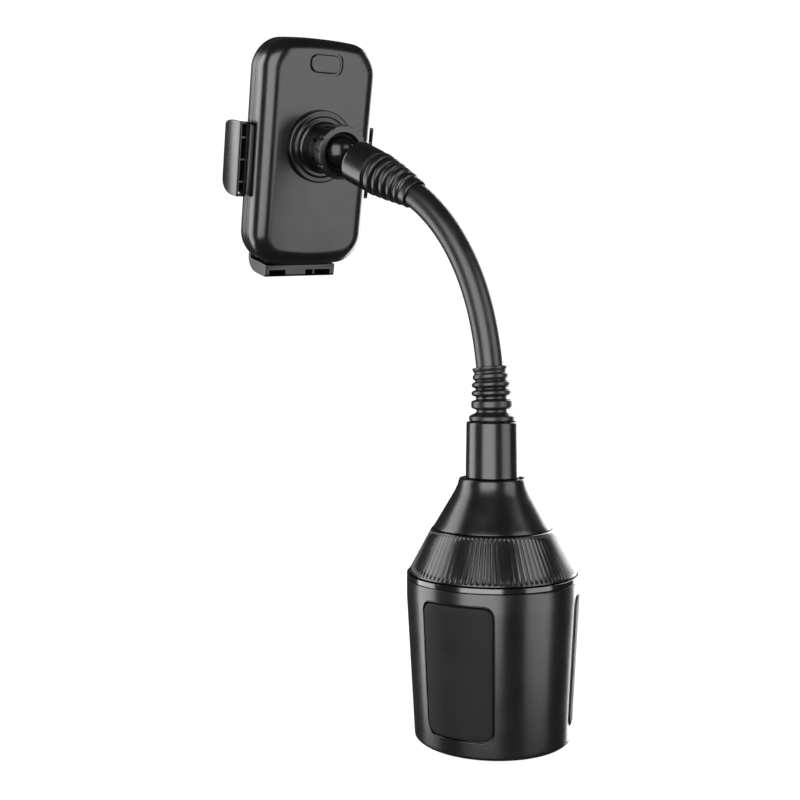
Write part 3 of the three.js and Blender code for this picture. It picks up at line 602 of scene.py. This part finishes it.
def case_ring(inset, depth):
    """The case's outline shrunk by `inset`, at `depth` below the back face: four corner arcs joined by
    straight sides, then the ends lifted by a parabola."""
    half_w, half_h = CASE_W / 2 - inset, CASE_H / 2 - CASE_ARCH - inset
    corner = max(CASE_CORNER - inset, 1)
    angle = np.radians(np.arange(4)[:, None] * 90 + np.linspace(0, 90, 15))
    sign = np.array([[1, 1], [-1, 1], [-1, -1], [1, -1]])[:, None]
    arcs = corner * np.stack([np.cos(angle), np.sin(angle)], -1)
    arcs = sign * [half_w - corner, half_h - corner] + arcs
    share = np.linspace(0, 1, 12)[1:-1, None]
    sides = arcs[:, -1:] * (1 - share) + np.roll(arcs[:, :1], -1, 0) * share
    x, z = np.concatenate([arcs, sides], 1).reshape(-1, 2).T
    z = z + np.sign(z) * CASE_ARCH * (1 - (x / half_w) ** 2)
    return np.stack([x, np.full_like(x, -depth), z], -1)


def filleted(wall, rim):
    """Rings from the rim of the back cover over its fillet to the flat face, `wall` inside the skin."""
    turn = np.radians(np.linspace(0, 90, 13))
    radius = CASE_FILLET - wall
    inset = np.concatenate([[wall, wall], wall + radius * (1 - np.cos(turn)),
                            CASE_FILLET + np.array([0.4, 5, 14])])
    depth = np.concatenate([[rim, (rim + CASE_FILLET) / 2], CASE_FILLET - radius * np.sin(turn),
                            np.full(3, wall)])
    return np.stack([case_ring(*ring) for ring in zip(inset, depth)])


def slab(outline, low, high, edge, support=0.3):
    """A closed outline [u, v] made solid from `low` to `high`, as [u, v, w], with its edges rounded by
    quarter circles. Rows are the outline with its sides moved inwards: a corner goes along the sum of its
    two sides' normals, divided by one plus their dot product."""
    side = np.roll(outline, -1, 0) - outline
    side /= np.linalg.norm(side, axis=1, keepdims=True)
    u, v = outline.T
    area = np.sum(u * np.roll(v, -1) - v * np.roll(u, -1))
    normal = np.stack([-side[:, 1], side[:, 0]], -1) * np.sign(area)
    before = np.roll(normal, 1, 0)
    inward = (normal + before) / (1 + np.sum(normal * before, axis=1, keepdims=True))
    turn = np.radians(np.linspace(0, 90, 6))
    inset = edge * (1 - np.sin(turn))
    rise = edge * (1 - np.cos(turn))
    inset = np.concatenate([[edge + support], inset, inset[::-1], [edge + support]])
    w = np.concatenate([[low], low + rise, high - rise[::-1], [high]])
    rows = outline + inset[:, None, None] * inward
    return np.concatenate([rows, np.broadcast_to(w[:, None, None], (*rows.shape[:2], 1))], -1)


def rectangle(u, v, radius=0.0, steps=6):
    """A rectangle from its two ranges, with rounded corners."""
    corners = [[u[0], v[0]], [u[1], v[0]], [u[1], v[1]], [u[0], v[1]]]
    return soften(corners, radius, steps) if radius else np.array(corners, float)


def carve(made, cutters):
    """Cut closed cutter pieces out of a piece, keep the result as its mesh, and throw the cutters away."""
    for cutter in cutters:
        cut = made.modifiers.new("cut", "BOOLEAN")
        cut.operation, cut.solver, cut.object = "DIFFERENCE", "EXACT", cutter
    bpy.context.view_layer.update()
    shaped = bpy.data.meshes.new_from_object(made.evaluated_get(bpy.context.evaluated_depsgraph_get()))
    made.modifiers.clear()
    made.data = shaped
    for cutter in cutters:
        bpy.data.objects.remove(cutter)
    shade(made, CREASE)


def block(x, y, z, place=on_cradle):
    """A plain box used as a cutter."""
    face = rectangle(x, z)
    rows = np.stack([np.stack([face[:, 0], np.full(4, depth), face[:, 1]], -1) for depth in y])
    return piece("cutter", None, satin_plastic, [net(place(rows), "capped")])


def pill(half_w, half_h, low, high, edge):
    """A pill-shaped slab standing out of the back at the button's height."""
    outline = rectangle((-half_w, half_w), (-half_h, half_h), half_h * 0.96, 10)
    return net(out_of_back(slab(outline, low, high, edge), (0, BUTTON_Z)), "capped")


back_rings = np.concatenate([filleted(CASE_WALL, CASE_SPLIT)[::-1], filleted(0, CASE_SPLIT)])
back = piece("back-cover", "cradle", satin_plastic, [net(on_cradle(back_rings), "capped")], ["back_cover"])
arm_slot = ((-40, 40), (-13.8, -7.6), (ARM_Z - ARM_HALF_H + 0.6, ARM_Z + ARM_HALF_H - 0.6))
carve(back, [block(*arm_slot),
             piece("cutter", None, satin_plastic, [pill(8.1, 4.4, -5, 2, 0.01)]),
             piece("cutter", None, satin_plastic, [pill(9.4, 5.4, -0.8, 2, 0.01)])])

inner_depth, front_rim = CASE_DEPTH - CASE_WALL, CASE_SPLIT + GAP
inside_rings = [(CASE_WALL + 14, inner_depth), (CASE_WALL, inner_depth), (CASE_WALL, front_rim)]
outside_rings = [(0, front_rim), (0, 15), (0, 17), (0.1, 17.7), (0.4, 18.4), (0.9, 18.95),
                 (1.6, CASE_DEPTH), (2.2, CASE_DEPTH), (16, CASE_DEPTH)]
front_rings = np.stack([case_ring(*ring) for ring in inside_rings + outside_rings])
front = piece("front-cover", "cradle", satin_plastic, [net(on_cradle(front_rings), "capped")],
              ["front_cover"])
carve(front, [block(*arm_slot), block((-12.4, 12.4), (-15.4, -12.6), (-70, -50))])

piece("release-button", "button", satin_plastic,
      [pill(7.8, 4.1, -2.6, 0.5, 0.45), pill(9.6, 4.3, -3.3, -2.3, 0.1)], ["release_button"])
pad_face = slab(rectangle((-24, 24), (-46, 46), 6.7, 10), -20, -18.8, 0.5)
piece("front-pad", "cradle", grip_rubber, [net(on_cradle(pad_face[..., [0, 2, 1]]), "capped")],
      ["front_pad"])
print("case is", CASE_W, "by", CASE_H, "mm")

# %% [markdown]
# ## The arms
#
# An arm is a curved plate that hooks round the phone's edge. Seen from the back it has a row of open
# pockets between thin ribs, which moulders use to keep a thick wall even. Its outline from above is
# carried up the arm, and the two front corners are rounded by squeezing the height towards the front.

# %% Arms and arm pads
ARM_FRONT = 35.2
ARM_CORNER_REACH = 18  # how far back the rounding of the front corners starts
ARM_CORNER_DROPS = (7, 14)  # how much height they take at the very front, at the top and the bottom
ARM_POCKETS = ((-17, -11.1), (-10.3, -0.4), (0.4, 10.1), (10.9, 17))


def arm_outline():
    """Seen from above: a flat inner face, a hook at the front, and an outer face bowed by a parabola."""
    t = np.linspace(0, 1, 22)[:, None]
    bowed = (1 - t) ** 2 * [34, -35.2] + 2 * t * (1 - t) * [38.8, -30] + t ** 2 * [37.2, -12]
    inner = [[32.8, -12], [32.23, -12.23], [32, -12.8], [32, -31.6], [29.8, -33.2], [29.8, -34.2], [30.4, -34.9]]
    return np.vstack([inner, bowed[:-1], [[37.25, -12.6], [37.1, -12.2], [36.6, -12]]])


def round_front(rows):
    """Squeeze the height towards the front as on a quarter of an ellipse, so the corners are round."""
    x, y, z = np.moveaxis(rows, -1, 0)
    past = np.clip(1 - (ARM_FRONT + y) / ARM_CORNER_REACH, 0, 1)
    lost = np.where(z > 0, *ARM_CORNER_DROPS) * (1 - np.sqrt(1 - past ** 2))
    return np.stack([x, y, z * (1 - lost / ARM_HALF_H)], -1)


def on_arm(side):
    """Place right-arm points on the cradle. The left arm is the right one turned half a turn."""
    flip = np.array([1, 1, 1]) if side == "right" else np.array([-1, 1, -1])
    return lambda points: on_cradle(np.asarray(points, float) * flip + [0, 0, ARM_Z])


for side in ("right", "left"):
    place = on_arm(side)
    body = round_front(slab(arm_outline(), -ARM_HALF_H, ARM_HALF_H, 0.4, 0.1))
    web = slab(rectangle((12, 33.2), (-13.4, -8.8), 0.9, 4), -16.8, 16.8, 0.4, 0.1)
    arm = piece(f"{side}-arm", f"{side}_grip", satin_plastic, [net(place(body), "capped")])
    carve(arm, [block((33.6, 36.2), (-17.5, -11), cell, place) for cell in ARM_POCKETS])
    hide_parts(f"{side}_arm")
    piece(f"{side}-arm-web", f"{side}_grip", satin_plastic, [net(place(web), "capped")],
          [f"{side}_arm"])
    cushion = round_front(slab(rectangle((30.4, 31.7), (-31, -21)), -16, 16, 0.4, 0.1))
    piece(f"{side}-arm-pad", f"{side}_grip", grip_rubber, [net(place(cushion), "capped")],
          [f"{side}_arm_pad"])
print("arm pockets:", len(ARM_POCKETS))

# %% [markdown]
# ## The foot
#
# The phone stands on a shelf with a low lip, which slides on a tongue inside the case. It is the side
# view carried across, with three pockets open at the back.

# %% Foot and foot pad
FOOT_HALF_W = 19.8
FOOT_POCKETS = ((-17.2, -8), (-7.2, -3), (8.4, 17.6))
foot_side = soften([[-10, -55.8], [-10, -61.4], [-10.6, -62], [-22, -62], [-26.5, -61], [-29.3, -58.6],
                    [-30.4, -56], [-30.4, -51.4], [-28.8, -51], [-28.2, -55.8]],
                   [0.7, 0.7, 0.7, 2, 1.6, 1.6, 1, 0.7, 0.7, 1.2])
foot_rows = slab(foot_side, -FOOT_HALF_W, FOOT_HALF_W, 0.4, 0.05)[..., [2, 0, 1]]
foot = piece("foot-shelf", "foot", satin_plastic, [net(on_cradle(foot_rows), "capped")])
carve(foot, [block(cell, (-24, -9), (-61.2, -58.4)) for cell in FOOT_POCKETS])
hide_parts("foot")
tongue = slab(rectangle((-12, 12), (-15, -13), 0.7, 4), -58, -26, 0.35, 0.05)
piece("foot-tongue", "foot", satin_plastic, [net(on_cradle(tongue), "capped")], ["foot"])
foot_top = slab(rectangle((-17, 17), (-27.6, -20.4), 1.5), -55.5, -54.3, 0.4)
piece("foot-pad", "foot", grip_rubber, [net(on_cradle(foot_top), "capped")], ["foot_pad"])
print("foot is", 2 * FOOT_HALF_W, "mm wide")

# %% [markdown]
# ## The works
#
# Screws, springs, the rack gear and the rest of the works come straight from the model: their shape is
# already right, and they only need a finish. The name of each one tells which.

# %% Finishes for the pieces kept from the model
STEEL_WORDS = ("screw", "spring", "core", "axle", "latch_pin")
for name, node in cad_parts.items():
    if node.hide_render:
        continue
    steel = any(word in name for word in STEEL_WORDS)
    material = plated_steel if steel else grip_rubber if name == "base_foot_pad" else inner_plastic
    node.data.materials.clear()
    node.data.materials.append(material)
kept = [name for name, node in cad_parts.items() if not node.hide_render]
print("kept from the model:", len(kept), kept)

# %% [markdown]
# ## Studio
#
# Black plastic shows only what it reflects. So the light is a few tall softboxes with dark gaps between
# them, which draw long bands down every round piece. The floor and backdrop are one pale bowl. The bowl
# is left out of reflections, or it would wash the black out.

# %% Floor and backdrop
FLOOR_R, WALL_R, WALL_H = 1500, 2600, 2600
rise = np.radians(np.linspace(0, 90, 24))
bowl_profile = np.vstack([[[0, 0], [700, 0]],
                          np.stack([FLOOR_R + (WALL_R - FLOOR_R) * np.sin(rise),
                                    (WALL_R - FLOOR_R) * (1 - np.cos(rise))], -1), [[WALL_R, WALL_H]]])
paper = finish("backdrop paper", (0.22, 0.22, 0.22), 0.9, 0.02, 2.0, 0.0001, gloss=0.1)
glow = paper.node_tree.nodes["Principled BSDF"].inputs
glow["Emission Color"].default_value = (1, 1, 1, 1)
glow["Emission Strength"].default_value = 0.86
bowl = piece("studio-bowl", None, paper, [net(turned(bowl_profile, 96))], crease=80)
bowl.visible_glossy = False
bowl.visible_shadow = False

# %% Camera and softboxes
CAMERA_TURN = np.radians(146.3)
CAMERA_PLACE = (0.2965, 0.3735, 0.1623)
towards_camera = np.array([np.sin(CAMERA_TURN), -np.cos(CAMERA_TURN), 0])
camera_right = np.array([np.cos(CAMERA_TURN), np.sin(CAMERA_TURN), 0])
camera_data = bpy.data.cameras.new("camera")
camera_data.lens, camera_data.sensor_width, camera_data.shift_y = 50, 36, -0.0558
camera = bpy.data.objects.new("camera", camera_data)
camera.location = CAMERA_PLACE
camera.rotation_euler = (np.radians(90), 0, CAMERA_TURN)
bpy.context.scene.collection.objects.link(camera)
bpy.context.scene.camera = camera


SOFTBOX_DISTANCE, SOFTBOX_Z = 1.1, (-0.42, 1.05)  # metres


def softbox(name, bearing_from, bearing_to, brightness):
    """A tall rectangle of light that faces the mount and fills the bearings from one to the other,
    measured from the camera, positive to its right. Power is brightness times pi times the area."""
    low, high = SOFTBOX_Z
    middle = np.radians((bearing_from + bearing_to) / 2)
    half = np.radians((bearing_to - bearing_from) / 2)
    direction = towards_camera * np.cos(middle) + camera_right * np.sin(middle)
    light = bpy.data.lights.new(name, "AREA")
    light.shape = "RECTANGLE"
    light.size, light.size_y = 2 * SOFTBOX_DISTANCE * np.tan(half), high - low
    light.energy = brightness * np.pi * light.size * light.size_y
    holder = bpy.data.objects.new(name, light)
    holder.location = direction * SOFTBOX_DISTANCE + [0, 0, (low + high) / 2]
    holder.rotation_euler = (np.radians(90), 0, np.arctan2(direction[1], direction[0]) + np.radians(90))
    holder.visible_camera = False
    bpy.context.scene.collection.objects.link(holder)


softbox("main softbox", -47, 8, 5.6)
softbox("right softbox", 40, 78, 3.2)
softbox("left softbox", -120, -86, 5.0)
softbox("rim softbox", 130, 165, 6.0)

world = bpy.data.worlds.new("studio air")
bpy.context.scene.world = world
world.use_nodes = True
air = world.node_tree.nodes["Background"].inputs
air["Color"].default_value = (1, 1, 1, 1)
air["Strength"].default_value = 0.06
bpy.context.scene.view_settings.view_transform = "Standard"
